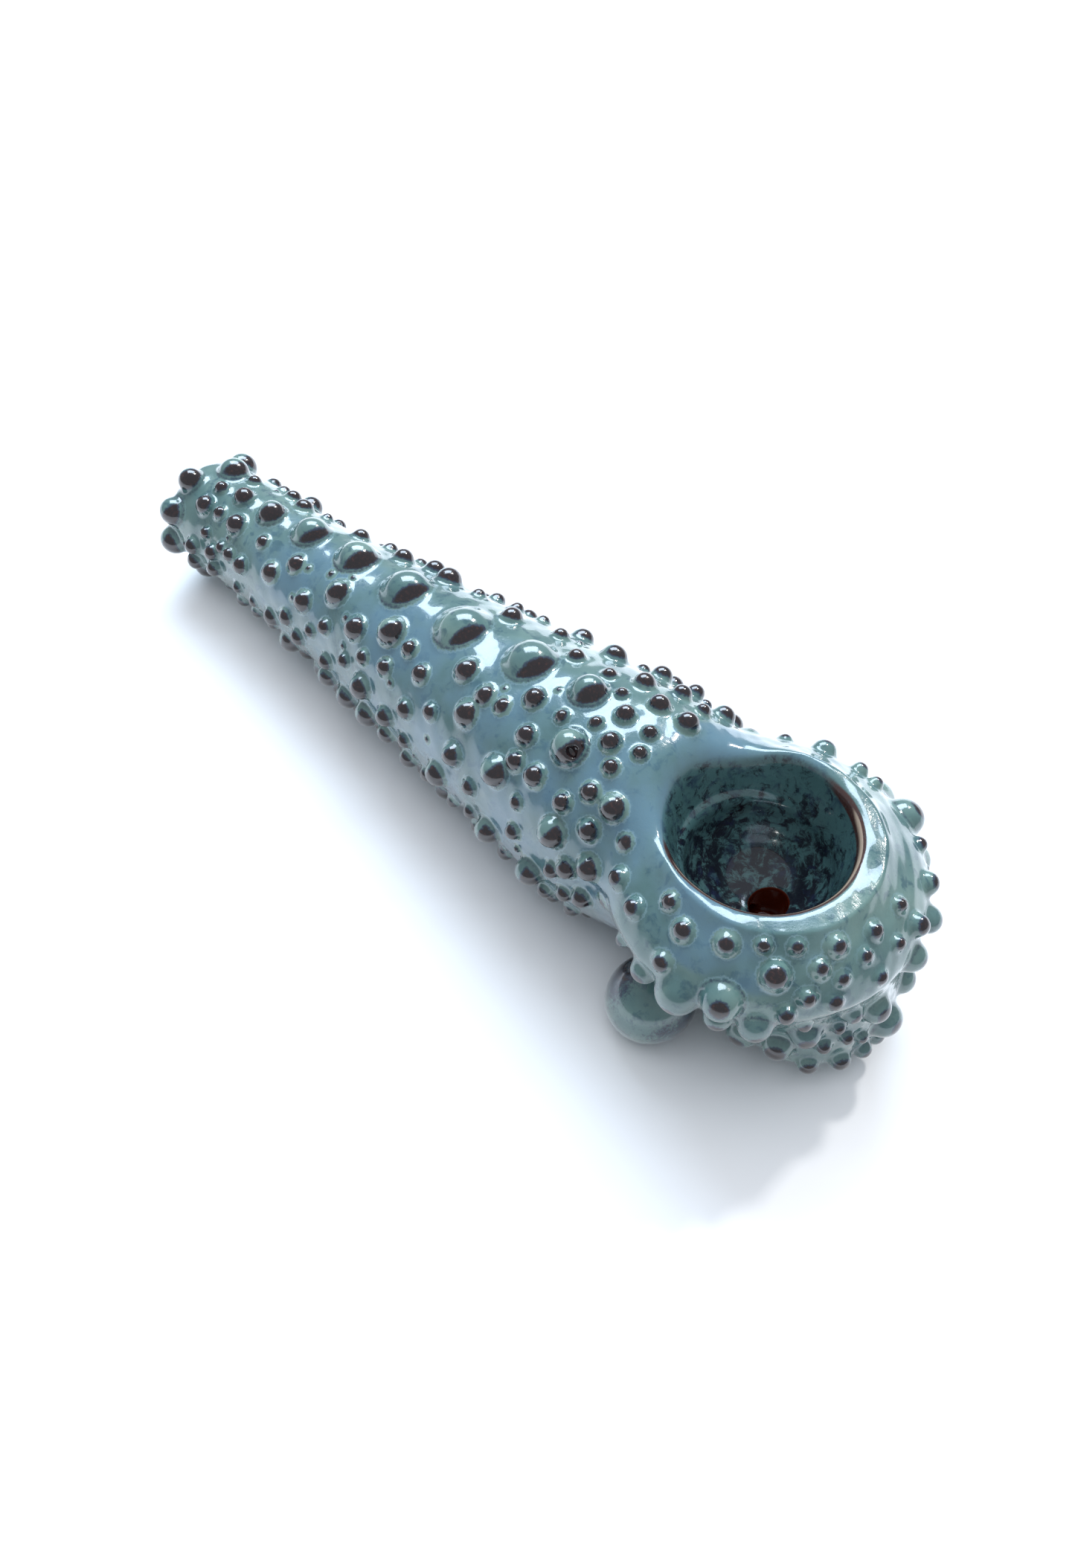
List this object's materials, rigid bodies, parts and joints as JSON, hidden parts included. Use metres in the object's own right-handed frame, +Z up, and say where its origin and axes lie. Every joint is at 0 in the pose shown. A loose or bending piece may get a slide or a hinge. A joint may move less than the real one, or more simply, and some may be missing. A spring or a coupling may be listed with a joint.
{
  "type": "ceramic hand pipe",
  "caption": "Glazed ceramic hand pipe: round bowl with draft hole, tapered tube with a straight airway, two ball feet and a skin of applied clay beads.",
  "frame": {"origin": "middle of the footprint, on the surface that the pipe rests on", "axes": "+X from the mouth end to the nose of the bowl, +Y to the far side, +Z up"},
  "size_m": [0.1264, 0.0416, 0.0319],
  "materials": {
    "body_glaze": "glossy grey-teal glaze with pale blue pools",
    "dark_bead_glaze": "glossy glaze broken to dark brown over small beads",
    "large_bead_glaze": "glossy teal glaze, dark brown on the steep edges",
    "foot_glaze": "glossy dark teal glaze mottled navy"
  },
  "bodies": {
    "root": {"bowl": "body_glaze", "stem": "body_glaze", "near_foot": "foot_glaze", "far_foot": "foot_glaze", "spine_beads": "large_bead_glaze", "cratered_bead": "large_bead_glaze", "mouth_ring_beads": "large_bead_glaze", "near_lobes": "foot_glaze", "far_lobes": "foot_glaze", "top_mouth_beads": "dark_bead_glaze", "top_middle_beads": "dark_bead_glaze", "top_shoulder_beads": "dark_bead_glaze", "near_mouth_beads": "dark_bead_glaze", "near_middle_beads": "dark_bead_glaze", "near_shoulder_beads": "dark_bead_glaze", "far_mouth_beads": "dark_bead_glaze", "far_middle_beads": "dark_bead_glaze", "far_shoulder_beads": "dark_bead_glaze", "under_near_beads": "dark_bead_glaze", "under_far_beads": "dark_bead_glaze", "crown_near_beads": "dark_bead_glaze", "crown_front_beads": "dark_bead_glaze", "crown_far_beads": "dark_bead_glaze", "chin_near_beads": "dark_bead_glaze", "chin_front_beads": "dark_bead_glaze", "chin_far_beads": "dark_bead_glaze"}
  },
  "joints": []
}
